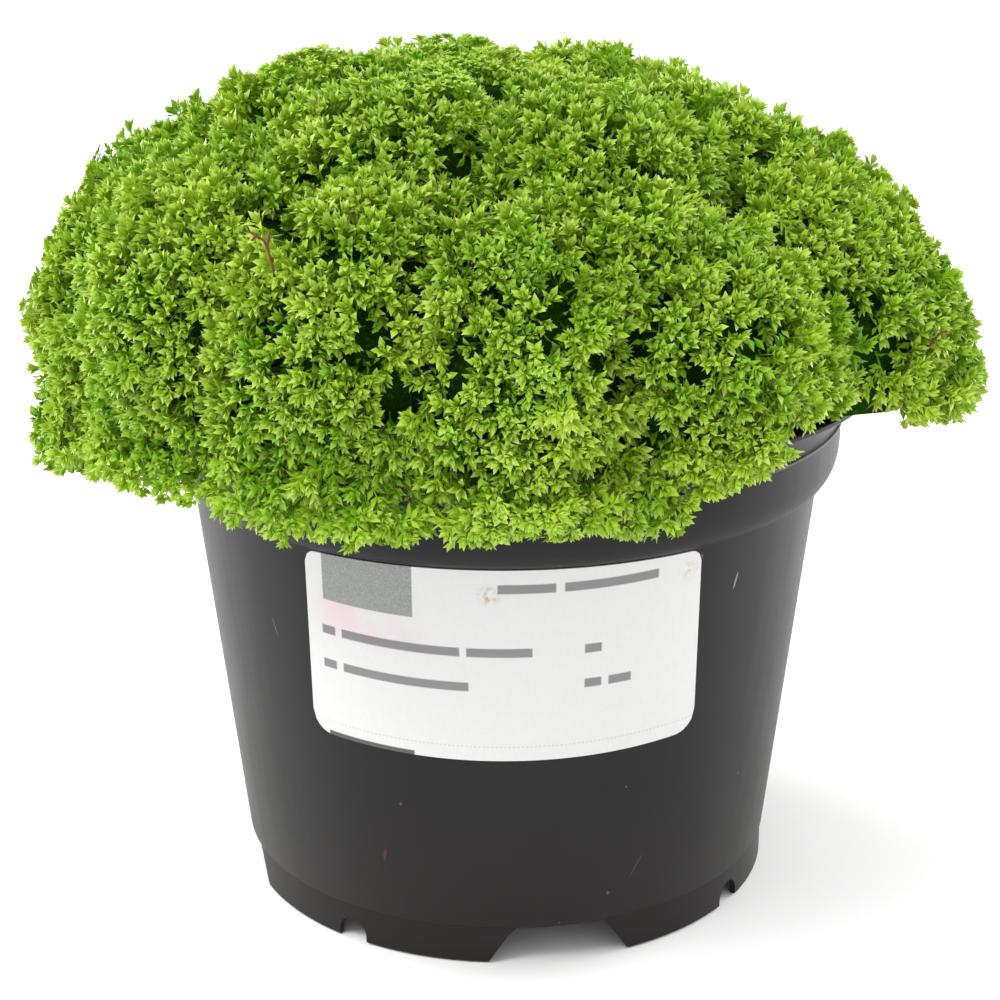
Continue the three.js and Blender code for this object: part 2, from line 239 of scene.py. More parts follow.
def pot_finish():
    """Thin charcoal plastic with a satin skin, fine scratches, a little dust and painted highlight lines
    along its beads.
    """
    finish = Finish("pot_plastic", Specular_IOR_Level=0.22)
    where = finish.place()
    x, y, z = where.parts()
    streaks = finish.add("ShaderNodeMapping", {}, {"Vector": where, "Scale": (1.0, 1.0, 0.06)})
    drawn = finish.clouds(streaks, 2.2, 3.0)
    cloudy = finish.clouds(where, 24.0, 3.0)
    grain = finish.clouds(where, 0.35, 2.0)
    dust = (finish.specks(where, 7.0) < 0.045) * (finish.clouds(where, 30.0) > 0.5)
    warm = (1 - z.fade(2.0, 60.0)) * 0.6
    colour = finish.blend(warm, tone("141314"), tone("1c1715"))
    colour = finish.blend(cloudy.fade(0.4, 0.75) * 0.4, colour, tone("1e1c1c"))
    colour = finish.blend(dust * 0.25, colour, tone("a59a8c"))
    # Painted highlight: thin paler lines along the collar bead and the ledge bead, where their edges catch
    # the light.
    collar_bead_highlight = 1 - abs(z - (COLLAR_TOP - 0.28)).fade(0.2, 0.45)
    ledge_bead_highlight = 1 - abs(z - BODY_TOP).fade(0.1, 0.3)
    colour = finish.blend(collar_bead_highlight * 0.8 + ledge_bead_highlight * 0.4, colour, tone("5c5856"))
    for amount, mark in scuffs(x, y, z):
        colour = finish.blend(amount, colour, mark)
    finish.feed(
        Base_Color=colour,
        Roughness=0.36 + drawn * 0.1 + cloudy * 0.08 + dust * 0.3,
        Normal=finish.relief(grain * 0.35 + drawn, 0.12, 0.05 * MM),
    )
    return finish.material


# Marks on the front of the pot: x, z, half width, half height, slant, colour and strength.
SCUFFS = [
    (-20.6, 19.4, 0.25, 1.3, 0.1, "5a2c22", 0.7),
    (37.9, 66.8, 0.16, 1.5, 0.25, "8d8884", 0.8),
    (31.6, 73.4, 0.35, 0.4, 0.0, "6e4c3c", 0.7),
    (-38.5, 58.0, 0.12, 1.6, -0.3, "6d6966", 0.5),
    (22.0, 16.5, 0.1, 2.4, 0.5, "5d5856", 0.5),
]


def scuffs(x, y, z):
    """How strong each scuff is at a place, and its colour."""
    for across, up, wide, tall, slant, code, strength in SCUFFS:
        along = (x - across - (z - up) * slant) / wide
        high = (z - up) / tall
        near = 1 - (along * along + high * high).fade(0.5, 1.4)
        yield near * (y < 0.0) * strength, tone(code)


def label_finish():
    """Matt white sticker with a grey block, plain bars, a line of fine perforations and soil stains."""
    finish = Finish("label_paper", Specular_IOR_Level=0.3)
    sheet = finish.add("ShaderNodeUVMap", {"uv_map": "sheet"}, [])
    spot = {"Vector": sheet, "Scale": SHEET_SCALE}
    u, v, _ = finish.add("ShaderNodeVectorMath", {"operation": "SCALE"}, spot).parts()
    where = finish.place()

    def patch(left, right, low, high, edge=0.12):
        """1 inside a rectangle on the sheet, in millimetres from its lower left corner."""
        across = abs(u - (left + right) / 2)
        up = abs(v - (low + high) / 2)
        half_width, half_height = (right - left) / 2, (high - low) / 2
        return (1 - across.fade(half_width - edge, half_width + edge)) * (
            1 - up.fade(half_height - edge, half_height + edge)
        )

    fibre = finish.clouds(where, 0.8, 4.0)
    print_grain = finish.clouds(where, 0.3, 2.0)
    colour = finish.blend(fibre, tone("d0d0cf"), tone("d8d8d8"))

    blush = finish.clouds(where, 9.0).fade(0.3, 0.6) * patch(*LABEL_BLUSH, 3.0)
    colour = finish.blend(blush * 0.5, colour, tone("d8b4c2"))

    ink = finish.blend(print_grain.fade(0.35, 0.7), tone("848884"), tone("979b96"))
    colour = finish.blend(patch(*LABEL_BLOCK), colour, ink)
    colour = finish.blend(patch(*LABEL_STRIP), colour, tone("5a5553"))
    for bar in LABEL_BARS:
        colour = finish.blend(patch(*bar, 0.15) * 0.75, colour, tone("4c4b50"))

    holes = finish.add("ShaderNodeMath", {"operation": "PINGPONG"}, [u, PERFORATION_STEP])
    line = (1 - abs(v - PERFORATION_HEIGHT).fade(0.08, 0.22)) * holes.fade(0.1, 0.2)
    colour = finish.blend(line * 0.35, colour, tone("a09c9e"))

    crumbs = finish.clouds(where, 0.9, 4.0, 0.65)
    for across, up, reach, strength in LABEL_STAINS:
        distance = ((u - across) ** 2.0 + (v - up) ** 2.0) ** 0.5
        stain = (1 - distance.fade(0.0, reach)) * crumbs.fade(0.42, 0.62)
        colour = finish.blend(stain * strength, colour, tone("a9875a"))
    finish.feed(
        Base_Color=colour,
        Roughness=0.55 + fibre * 0.15,
        Normal=finish.relief(fibre, 0.1, 0.05 * MM),
    )
    return finish.material


def peat_finish():
    """Moist dark peat with paler fibres."""
    finish = Finish("peat", Roughness=0.95)
    where = finish.place()
    crumb = finish.clouds(where, 2.4, 6.0, 0.7)
    fibres = finish.clouds(where, 0.7, 3.0)
    colour = finish.blend(crumb, tone("1b130d"), tone("463022"))
    colour = finish.blend(fibres.fade(0.6, 0.75) * 0.5, colour, tone("7a5a3c"))
    finish.feed(Base_Color=colour, Normal=finish.relief(crumb, 1.0, 1.2 * MM))
    return finish.material


def floor_finish():
    """Pale studio paper."""
    finish = Finish("floor_paper", Roughness=0.8)
    mottle = finish.clouds(finish.place(), 60.0)
    darker, paler = (0.93, 0.93, 0.93, 1.0), (0.95, 0.95, 0.95, 1.0)
    finish.feed(Base_Color=finish.blend(mottle, darker, paler))
    return finish.material


# ---- Small helpers --------------------------------------------------------------------------


def polar(bearing, radius, z):
    """The place at a bearing and a distance from the pot's axis."""
    angle = math.radians(bearing)
    return Vector((radius * math.sin(angle), -radius * math.cos(angle), z))


def settle(name, bm, materials, nodes):
    """Makes the bmesh, in millimetres, a piece in metres that rides with the part."""
    mesh = bpy.data.meshes.new(name)
    bm.to_mesh(mesh)
    bm.free()
    mesh.transform(Matrix.Scale(MM, 4))
    for material in materials:
        mesh.materials.append(material)
    piece = bpy.data.objects.new(name, mesh)
    bpy.context.scene.collection.objects.link(piece)
    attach(piece, "root")
    if nodes:
        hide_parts(*nodes)
    return piece


def along_line(start, end):
    """A turn that lays Z along the line between two points."""
    return (end - start).to_track_quat("Z", "Y").to_matrix().to_4x4()


def smooth(mesh, degrees):
    """Smooth shading, with creases kept where faces meet at more than this angle."""
    mesh.shade_smooth()
    mesh.set_sharp_from_angle(angle=math.radians(degrees))


# ---- Pot ------------------------------------------------------------------------------------

FOOT_RADIUS = 48
FOOT_HEIGHT = 7
FLOOR_UNDERSIDE = 7.4
WALL = 1.1
BODY_FOOT_RADIUS = 48.35
BODY_TOP_RADIUS = 56
BODY_TOP = 75.2
COLLAR_RADIUS = 59.5
LEDGE_TOP = 81.7
COLLAR_TOP = 86.3
LIP_RADIUS = 66
POT_HEIGHT = 94
BEAD = 0.4
SPIN_STEPS = 160
GAP_BEARING = 11
GAP_CORNERS = [(12.9, -1), (8.9, 5.2), (7.6, 6.6)]
NOTCH_RADIUS = 2.9
NOTCH_SPRING = 1.1
CUT_START = FOOT_RADIUS + 5
CUT_DEPTH = 10
DRAIN_RADIUS = 4.5
DRAIN_RING = 34
SLIVER_WIDTH = 0.001 * MM
FLARE = [
    (59.55, 86.5), (59.8, 87.3), (60.6, 88.4), (61.6, 89.5), (63.0, 90.8), (64.6, 92.0), (65.6, 92.75),
]
LEDGE_STEPS = 8


def body_radius(z):
    """The outside of the tapered body at a height."""
    share = (z - FOOT_HEIGHT) / (BODY_TOP - FOOT_HEIGHT)
    return BODY_FOOT_RADIUS + share * (BODY_TOP_RADIUS - BODY_FOOT_RADIUS)


def pot_profile():
    """The wall's section, from under the floor, up the outside, over the lip and down inside."""
    rise = LEDGE_TOP - BODY_TOP
    ledge = []
    for step in range(1, LEDGE_STEPS + 1):
        turn = math.radians(90 * step / LEDGE_STEPS)
        out = (COLLAR_RADIUS - BODY_TOP_RADIUS) * math.sin(turn)
        ledge.append((BODY_TOP_RADIUS + out, LEDGE_TOP - rise * math.cos(turn)))
    return [
        (0, FLOOR_UNDERSIDE),
        (FOOT_RADIUS - WALL - 0.4, FLOOR_UNDERSIDE),
        (FOOT_RADIUS - WALL, FLOOR_UNDERSIDE - 0.4),
        (FOOT_RADIUS - WALL, 0.15),
        (FOOT_RADIUS - WALL + 0.15, 0),
        (FOOT_RADIUS - 0.2, 0),
        (FOOT_RADIUS, 0.2),
        (FOOT_RADIUS, FOOT_HEIGHT - 0.35),
        (FOOT_RADIUS + 0.1, FOOT_HEIGHT - 0.2),
        (BODY_FOOT_RADIUS - 0.08, FOOT_HEIGHT - 0.1),
        (BODY_FOOT_RADIUS, FOOT_HEIGHT + 0.1),
        (body_radius(BODY_TOP - 0.2), BODY_TOP - 0.2),
        (BODY_TOP_RADIUS + BEAD, BODY_TOP - 0.05),
        (BODY_TOP_RADIUS + BEAD, BODY_TOP + 0.08),
        *ledge,
        (COLLAR_RADIUS + 0.04, LEDGE_TOP + 0.25),
        (COLLAR_RADIUS + 0.04, COLLAR_TOP - 0.7),
        (COLLAR_RADIUS + BEAD, COLLAR_TOP - 0.45),
        (COLLAR_RADIUS + BEAD, COLLAR_TOP - 0.1),
        (COLLAR_RADIUS + 0.04, COLLAR_TOP + 0.1),
        *FLARE,
        (LIP_RADIUS - 0.1, POT_HEIGHT - 0.95),
        (LIP_RADIUS, POT_HEIGHT - 0.7),
        (LIP_RADIUS, POT_HEIGHT - 0.25),
        (LIP_RADIUS - 0.25, POT_HEIGHT),
        (LIP_RADIUS - WALL + 0.2, POT_HEIGHT),
        (LIP_RADIUS - WALL, POT_HEIGHT - 0.2),
        (COLLAR_RADIUS - WALL + 2.2, COLLAR_TOP + 3.8),
        (COLLAR_RADIUS - WALL, COLLAR_TOP),
        (COLLAR_RADIUS - WALL, LEDGE_TOP),
        (BODY_TOP_RADIUS - WALL, BODY_TOP),
        (body_radius(FLOOR_UNDERSIDE) - WALL, FLOOR_UNDERSIDE + WALL),
        (0, FLOOR_UNDERSIDE + WALL),
    ]


def turned(bm, profile, steps):
    """Spins a section about the upright axis."""
    corners = [bm.verts.new((radius, 0, z)) for radius, z in profile]
    edges = [bm.edges.new(pair) for pair in zip(corners, corners[1:])]
    bmesh.ops.spin(
        bm, geom=corners + edges, cent=(0, 0, 0), axis=(0, 0, 1), angle=2 * math.pi,
        steps=steps, use_merge=True,
    )
    bmesh.ops.remove_doubles(bm, verts=bm.verts[:], dist=0.001)
    bmesh.ops.recalc_face_normals(bm, faces=bm.faces[:])


def outline_block(outline, bearing):
    """A block with this outline, pushed out across the foot ring at a bearing."""
    bm = bmesh.new()
    face = bm.faces.new([bm.verts.new((x, -CUT_START, z)) for x, z in outline])
    grown = bmesh.ops.extrude_face_region(bm, geom=[face])["geom"]
    moved = [part for part in grown if isinstance(part, bmesh.types.BMVert)]
    bmesh.ops.translate(bm, verts=moved, vec=(0, CUT_DEPTH, 0))
    bmesh.ops.recalc_face_normals(bm, faces=bm.faces[:])
    bmesh.ops.rotate(bm, verts=bm.verts[:], matrix=Matrix.Rotation(math.radians(bearing), 3, "Z"))
    return bm


def foot_cutters():
    """Four wide gaps, four arched notches and five drain holes, as blocks to take out of the pot."""
    gap = [(half, z) for half, z in GAP_CORNERS] + [(-half, z) for half, z in reversed(GAP_CORNERS)]
    arch = [
        (NOTCH_RADIUS * math.cos(turn), NOTCH_SPRING + NOTCH_RADIUS * math.sin(turn))
        for turn in [math.pi * k / 12 for k in range(13)]
    ]
    notch = [(NOTCH_RADIUS, -1)] + arch + [(-NOTCH_RADIUS, -1)]
    for quarter in range(4):
        yield outline_block(gap, GAP_BEARING + 90 * quarter)
        yield outline_block(notch, GAP_BEARING + 45 + 90 * quarter)
    for radius, bearing in [(0, 0)] + [(DRAIN_RING, GAP_BEARING + 90 * k) for k in range(4)]:
        bm = bmesh.new()
        centre = polar(bearing, radius, FLOOR_UNDERSIDE)
        bmesh.ops.create_cone(
            bm, cap_ends=True, segments=32, radius1=DRAIN_RADIUS, radius2=DRAIN_RADIUS, depth=7,
            matrix=Matrix.Translation(centre),
        )
        yield bm


def make_pot(finish):
    """The thin moulded shell, with the gaps of its foot and its drain holes cut out."""
    bm = bmesh.new()
    turned(bm, pot_profile(), SPIN_STEPS)
    pot = settle("nursery_pot", bm, [finish], ["pot"])
    tools = []
    for number, cutter in enumerate(foot_cutters()):
        mesh = bpy.data.meshes.new(f"cutter_{number}")
        cutter.to_mesh(mesh)
        cutter.free()
        mesh.transform(Matrix.Scale(MM, 4))
        tool = bpy.data.objects.new(mesh.name, mesh)
        bpy.context.scene.collection.objects.link(tool)
        cut = pot.modifiers.new(mesh.name, "BOOLEAN")
        cut.operation, cut.solver, cut.object = "DIFFERENCE", "EXACT", tool
        tools.append(tool)
    bake_modifiers(pot)
    drop_slivers(pot.data)
    for tool in tools:
        bpy.data.objects.remove(tool)
    smooth(pot.data, 28)


def bake_modifiers(piece):
    """Replaces the piece's mesh by what its modifiers make of it."""
    bpy.context.view_layer.update()
    shown = piece.evaluated_get(bpy.context.evaluated_depsgraph_get())
    mesh = bpy.data.meshes.new_from_object(shown)
    piece.modifiers.clear()
    piece.data = mesh


def drop_slivers(mesh):
    """Takes out the faces without area that the cuts leave behind."""
    bm = bmesh.new()
    bm.from_mesh(mesh)
    bmesh.ops.dissolve_degenerate(bm, dist=SLIVER_WIDTH, edges=bm.edges[:])
    bm.to_mesh(mesh)
    bm.free()


# ---- Label ----------------------------------------------------------------------------------

LABEL_MIDDLE = -0.5
LABEL_WIDTH = 67.2
LABEL_BOTTOM = 40.3
LABEL_TOP = 75.0
LABEL_LIFT = 0.32
LABEL_THICKNESS = 0.3
CORNER_BOTTOM = 4.0
CORNER_TOP = 2.0
# How far the cone of the body is from its apex: a straight sheet climbs towards its ends.
APEX_DISTANCE = 475.0
# The sheet's grid: its columns crowd towards the ends, where the corners are round.
SHEET_COLUMNS = 96
SHEET_ROWS = 16
CROWDING = 0.72
# Millimetres for each unit of the sheet's map.
SHEET_SCALE = 100.0
# Printed rectangles: left, right, low and high, in millimetres from the sheet's lower left corner.
LABEL_BLOCK = (3.3, 19.2, 25.5, 36.0)
LABEL_BLUSH = (3.0, 20.0, 19.5, 27.0)
LABEL_STRIP = (3.3, 19.0, -1.0, 0.8)
LABEL_BARS = [
    (32.8, 42.0, 30.6, 32.2), (43.4, 59.1, 30.6, 32.2),
    (2.9, 5.4, 19.2, 20.8), (6.6, 26.7, 19.2, 20.8), (27.8, 38.3, 19.2, 20.8), (46.7, 49.5, 19.2, 20.8),
    (2.9, 5.4, 12.9, 14.5), (6.7, 28.1, 12.9, 14.5), (46.7, 49.5, 12.9, 14.5), (50.7, 54.6, 12.9, 14.5),
]
# Soil stains: across, up, reach and strength.
LABEL_STAINS = [(31.4, 30.3, 2.6, 0.8), (65.0, 30.5, 3.0, 0.35), (34.4, 31.4, 1.6, 0.4)]
PERFORATION_HEIGHT = 2.6
PERFORATION_STEP = 0.35


def make_label(finish):
    """A thin sheet bent round the tapered body, its corners rounded."""
    bm = bmesh.new()
    bmesh.ops.create_grid(bm, x_segments=SHEET_COLUMNS, y_segments=SHEET_ROWS, size=0.5)
    sheet = bm.loops.layers.uv.new("sheet")

    def rise(inset, radius):
        """How far a rounded corner draws the edge in, this far from the sheet's end."""
        return 0.0 if inset >= radius else radius - math.sqrt(radius**2 - (radius - inset) ** 2)

    flat = {}
    for corner in bm.verts:
        across = corner.co.x * 2
        share = 0.5 + 0.5 * math.copysign(abs(across) ** CROWDING, across)
        up = corner.co.y + 0.5
        inset = LABEL_WIDTH * min(share, 1 - share)
        along = LABEL_WIDTH * (share - 0.5)
        climb = along * along / (2 * APEX_DISTANCE)
        low = LABEL_BOTTOM + climb + rise(inset, CORNER_BOTTOM)
        high = LABEL_TOP - rise(inset, CORNER_TOP)
        z = low + (high - low) * up
        radius = body_radius(z)
        corner.co = polar(LABEL_MIDDLE + math.degrees(along / radius), radius + LABEL_LIFT, z)
        from_bottom = z - climb - LABEL_BOTTOM
        flat[corner.index] = (share * LABEL_WIDTH / SHEET_SCALE, from_bottom / SHEET_SCALE)
    bm.verts.index_update()
    for face in bm.faces:
        for loop in face.loops:
            loop[sheet].uv = flat[loop.vert.index]
    bmesh.ops.recalc_face_normals(bm, faces=bm.faces[:])
    facing = bm.faces[:][0]
    if facing.normal.dot(facing.calc_center_median() * Vector((1, 1, 0))) < 0:
        bmesh.ops.reverse_faces(bm, faces=bm.faces[:])
    bmesh.ops.solidify(bm, geom=bm.faces[:], thickness=-LABEL_THICKNESS)
    bmesh.ops.recalc_face_normals(bm, faces=bm.faces[:])
    label = settle("sticker", bm, [finish], ["label"])
    smooth(label.data, 40)


# ---- Clumps: where each one grows -------------------------------------------------------------

REACH_LIMIT = 83.2
# How far the foliage reaches to the left and to the right, at each height.
LEFT_REACH = [(106, 83.2), (113, 79.2), (124, 75.2), (139, 67), (145, 58), (150, 45)]
RIGHT_REACH = [
    (84, 71.5), (89, 77), (95, 81.8), (100, 83.2), (104, 83.2), (109, 80), (114, 76.5), (124, 71),
    (131, 64.5), (139, 58.5), (150, 50),
]
SPRAY_ROOM = 2.0
TOP_LIMIT = 148.3
LOWEST = 71.0
SOIL_TOP = 84.6
# Each ring of clumps: how far out, how high, their radius, how far out they root, and their bearings.
RINGS = {
    "crown_clump": (3, 117, 31, 2, [-90]),
    "inner_clump": (28, 115, 31, 20, [-36, 24, 84, 146, 204, 264]),
    "middle_clump": (47, 107, 29, 37, [-57, -20, 17, 60, 96, 134, 171, 211, 250]),
    "outer_clump": (56, 98, 27, 50, [-74, -48, -23, 2, 27, 66, 94, 121, 148, 176, 204, 232, 259]),
}
# Outer clumps between the first two bearings sit higher by the third value.
RAISED = [(-80, -60, 5), (-60, 45, 8), (45, 80, 7), (80, 105, 1), (220, 270, 5)]
CUSHION_LEAN = 0.065
# How low the foliage hangs at each bearing, from the back round the left, front and right.
HEMS = [
    (-180, 74), (-140, 73), (-110, 73), (-92, 71.5), (-75, 81), (-55, 87), (-40, 88.5), (-33, 89.5),
    (-26, 87.5), (-17, 87), (-11, 88), (-6, 86.5), (3, 89.5), (9, 89), (13, 86.5), (17, 84.5), (21, 92),
    (26, 95.5), (31, 100), (36, 101.5), (41, 101.5), (46, 102.5), (51, 96), (65, 94), (78, 96), (96, 91),
    (112, 86), (140, 78), (180, 74),
]
# A cleft between the front and the right of the cushion: its bearing, half width and highest point.
CLEFT = (50.0, 3.4, 121)
CLEFT_START = 58
GOLDEN_TURN = math.pi * (3 - math.sqrt(5))


class Clump:
    """A rounded mound: its centre, radius and the place of its root in the soil."""

    def __init__(self, node, bearing, out, height, radius, root):
        self.outer = node.startswith("outer")
        lifts = [span[2] for span in RAISED if self.outer and span[0] < bearing < span[1]]
        self.node = node
        self.centre = polar(bearing, out, height + sum(lifts))
        self.centre.z -= CUSHION_LEAN * self.centre.x
        self.radius = radius
        self.root = polar(bearing, root, SOIL_TOP)


def all_clumps():
    """The clumps of every ring."""
    found = []
    for ring, (out, height, radius, root, bearings) in RINGS.items():
        for number, bearing in enumerate(bearings, 1):
            node = f"{ring}_{number}" if len(bearings) > 1 else ring
            found.append(Clump(node, bearing, out, height, radius, root))
    return found


def spiral(count):
    """Directions spread evenly over a ball."""
    for k in range(count):
        up = 1 - (2 * k + 1) / count
        turn = k * GOLDEN_TURN
        out = math.sqrt(1 - up * up)
        yield Vector((out * math.cos(turn), out * math.sin(turn), up))


LUMP_SIZE = 15.0
LUMP_HEIGHT = 2.2
SURFACE_DEPTH = 1.0
HEM_CLEAR = 1.0
# Sprays don't grow this near the lip, sideways and upwards.
LIP_ROOM = (1.5, 2)


def surface(clump, direction):
    """The point where a clump's leafy surface lies in a direction, with its soft lumps."""
    point = clump.centre + direction * clump.radius
    lump = noise.noise(point / LUMP_SIZE)
    return point + direction * (LUMP_HEIGHT * lump - SURFACE_DEPTH)


def hem_at(x, y):
    """How low the foliage hangs at the bearing of a place."""
    return np.interp(np.degrees(np.arctan2(x, -y)), *zip(*HEMS))


def drawn_in(point):
    """A place on the cushion, moved in from its left or right edge until a spray has room there."""
    left = np.interp(point.z, *zip(*LEFT_REACH)) - SPRAY_ROOM
    right = np.interp(point.z, *zip(*RIGHT_REACH)) - SPRAY_ROOM
    return Vector((min(max(point.x, -left), right), point.y, point.z))


def is_covered(clump, point, clumps, depth=1.5):
    """Whether a point lies deeper than this in another clump."""
    return any(
        other is not clump and (other.centre - point).length < other.radius - depth
        for other in clumps
    )


def is_open(clump, point, clumps):
    """Whether sprays grow at a point: outside the other clumps, clear of the pot and above the hem."""
    out = math.hypot(point.x, point.y)
    over_pot = out < LIP_RADIUS + LIP_ROOM[0] and point.z < POT_HEIGHT + LIP_ROOM[1]
    bearing, half_width, top = CLEFT
    off = abs(math.degrees(math.atan2(point.x, -point.y)) - bearing)
    in_cleft = off < half_width and out > CLEFT_START and point.z < top
    below_hem = point.z <= hem_at(point.x, point.y) + HEM_CLEAR
    return not (in_cleft or over_pot or below_hem or is_covered(clump, point, clumps))


# ---- Sprays -----------------------------------------------------------------------------------

LEAF_LENGTH = 2.35
LEAF_WIDTH = 1.0
STEM_RADIUS = 0.17
STEM_PALENESS = 0.5
# A head's outer, middle and inner rank: how many leaves, and how far they lean out, in degrees.
HEAD_RANKS = [(4, -56, -30), (3, -32, -12), (2, -12, 4)]
# Corners of a leaf for a length and width of 1: across, off its back, along, and how pale it is there.
SIDE_LEAF = [(0, 0.15, 0, 0.0), (0, 0.15, 1, 0.8), (-0.5, -0.15, 0.5, 0.3), (0.5, -0.15, 0.5, 0.3)]
HEAD_LEAF = [(0, 0.15, 0, 0.0), (0, 0.15, 1, 1.0), (-0.5, -0.12, 0.58, 0.45), (0.5, -0.12, 0.58, 0.45)]
# A twig's side leaves: the share of a leaf's length between pairs, how far they spread and lean in degrees.
PAIR_GAP = 0.6
PAIR_SPREAD = (34, 54)
PAIR_LEAN = (-16, 12)
HEAD_LEAF_SIZES = (0.8, 1.15)


def leaf(bm, corners, place, size):
    """A pointed scale leaf, folded along its back."""
    pale = bm.verts.layers.float["pale"]
    made = []
    for across, off, along, whiteness in corners:
        corner = Vector((across * LEAF_WIDTH, off * LEAF_WIDTH, along * LEAF_LENGTH)) * size
        vert = bm.verts.new(place @ corner)
        vert[pale] = whiteness
        made.append(vert)
    bmesh.ops.convex_hull(bm, input=made)


def stem(bm, start, end, radius, tip_radius):
    """A thin three-sided stem between two points. Gives back the place of its end, with Z along it."""
    turn = along_line(start, end)
    pale = bm.verts.layers.float["pale"]
    made = bmesh.ops.create_cone(
        bm, cap_ends=True, cap_tris=True, segments=3, radius1=radius, radius2=tip_radius,
        depth=(end - start).length, matrix=Matrix.Translation((start + end) / 2) @ turn,
    )
    for vert in made["verts"]:
        vert[pale] = STEM_PALENESS
    return Matrix.Translation(end) @ turn


def twig(bm, start, end, pairs, rng):
    """A leafy twig: leaves in two ranks that close into a tulip at the tip."""
    tip = stem(bm, start, end, STEM_RADIUS, STEM_RADIUS * 0.6)
    tip = tip @ Matrix.Rotation(rng.uniform(0, 6), 4, "Z")
    for pair in range(pairs):
        back = (pair + 0.35) * LEAF_LENGTH * PAIR_GAP
        size = rng.uniform(0.8, 1.0) * (1 - 0.08 * pair)
        for side in (-1, 1):
            spread = math.radians(side * rng.uniform(*PAIR_SPREAD))
            lean = math.radians(rng.uniform(*PAIR_LEAN))
            turn = Euler((lean, spread, 0)).to_matrix().to_4x4()
            leaf(bm, SIDE_LEAF, tip @ Matrix.Translation((0, 0, -back)) @ turn, size)
    for rank, (leaves, widest, narrowest) in enumerate(HEAD_RANKS):
        for number in range(leaves):
            share = (number + 0.4 * rank + rng.uniform(-0.25, 0.25)) / leaves
            turn = Matrix.Rotation(2 * math.pi * share, 4, "Z")
            opened = Matrix.Rotation(math.radians(rng.uniform(widest, narrowest)), 4, "X")
            leaf(bm, HEAD_LEAF, tip @ turn @ opened, rng.uniform(*HEAD_LEAF_SIZES))


SPRAY_REACH = 10.0
TRAILER_REACH = 11.0
# For each kind of spray: its reach, heads, spread, where its twigs fork off, how far it droops, its seeds.
SPRAY_KIND = (SPRAY_REACH, 6, 3.1, (0.25, 0.55), 0.6, range(1, 13))
TRAILER_KIND = (TRAILER_REACH, 5, 3.2, (0.45, 0.7), 1.5, range(21, 26))
# How much lower a spray's outer heads lie: a share of the square of how far out they are.
DOME = 0.09
OLD_LEAVES = 8
OLD_LEAF_DEPTH = (4.5, 7.0)
OLD_LEAF_SIZES = (0.8, 1.15)
OLD_LEAF_LEAN = 0.7


def old_leaves(bm, reach, spread, rng):
    """Broad leaves round the foot of a spray, dark green with the painted shade low in it, that close the
    cushion under it.
    """
    for _ in range(OLD_LEAVES):
        turn = Matrix.Rotation(rng.uniform(0, 2 * math.pi), 4, "Z")
        out = spread * rng.uniform(0.2, 1.1)
        foot = Matrix.Translation((out, 0, reach - rng.uniform(*OLD_LEAF_DEPTH)))
        lean = Euler([rng.gauss(0, OLD_LEAF_LEAN) for _ in range(3)]).to_matrix().to_4x4()
        leaf(bm, SIDE_LEAF, turn @ foot @ lean, rng.uniform(*OLD_LEAF_SIZES))


def make_spray(seed, reach, heads, spread, forks, droop):
    """A little bush of twigs on one stem along Z, with its heads spread over a dome."""
    rng = random.Random(seed)
    bm = bmesh.new()
    for name in ("pale", "outer", "tint"):
        bm.verts.layers.float.new(name)
    outer = bm.verts.layers.float["outer"]
    first, last = forks
    stem(bm, Vector((0, 0, 0)), Vector((0, 0, last * reach)), STEM_RADIUS * 1.3, STEM_RADIUS)
    for number in range(heads):
        turn = number * GOLDEN_TURN + rng.uniform(-0.5, 0.5)
        out = spread * math.sqrt((number + 0.4) / heads)
        up = reach - 1.4 - DOME * out * out + rng.uniform(-0.9, 0.4)
        start = Vector((0, 0, reach * rng.uniform(first, last)))
        end = Vector((out * math.cos(turn), out * math.sin(turn), up))
        twig(bm, start, end, rng.choice((2, 3)), rng)
    old_leaves(bm, reach, spread, rng)
    for vert in bm.verts:
        share = max(0.0, vert.co.z / reach)
        vert.co.y -= droop * share * share
        vert[outer] = min(1.0, share)
    bmesh.ops.recalc_face_normals(bm, faces=bm.faces[:])
    mesh = bpy.data.meshes.new(f"spray_{seed}")
    bm.to_mesh(mesh)
    bm.free()
    return mesh


def make_sprays(reach, heads, spread, forks, droop, seeds):
    """The different sprays of one kind."""
    return [make_spray(seed, reach, heads, spread, forks, droop) for seed in seeds]


def plant(bm, spray, place, tint):
    """Adds a copy of a spray to a clump, all of it in one shade."""
    copy = spray.copy()
    copy.transform(place)
    copy.attributes["tint"].data.foreach_set("value", [tint] * len(copy.vertices))
    bm.from_mesh(copy)
    bpy.data.meshes.remove(copy)


def aimed(point, axis, face):
    """A place at a point with its Z along axis and its Y as near to face as can be."""
    across = face.cross(axis).normalized()
    up = axis.cross(across).normalized()
    matrix = Matrix((across, up, axis)).transposed().to_4x4()
    matrix.translation = point
    return matrix


# ---- Clumps -----------------------------------------------------------------------------------

SPRAY_AREA = 24.0
SPRAY_RISE = (-1.0, 1.6)
SPRAY_JITTER = 0.03
# Trailers hang at the hem, up to a span above its lowest tips.
TRAILERS = 23
TRAILER_LOW = 1.8
TRAILER_SPAN = 12.0
TRAILER_OVERLAP = 5.0
TRAILER_DEPTH = (5.0, 8.0)
TRAILER_INSET = 3.0
# A spray that would hang below the hem is turned up, step by step.
HEM_ROOM = 1.5
LIFT_TRIES = 8
LIFT = 0.2
# How much sprays nod, which way, and how far they stray from it.
NOD = (0.3, 1.1)
NOD_OUT = 0.5
NOD_DOWN = 0.62
STRAY = 0.28
TRAILER_STRAY = 0.25
CORE_DEPTH = 6.0
CORE_FLOOR = 95.6
CORE_BUMP = 1.6
CORE_BUMP_SIZE = 3.5
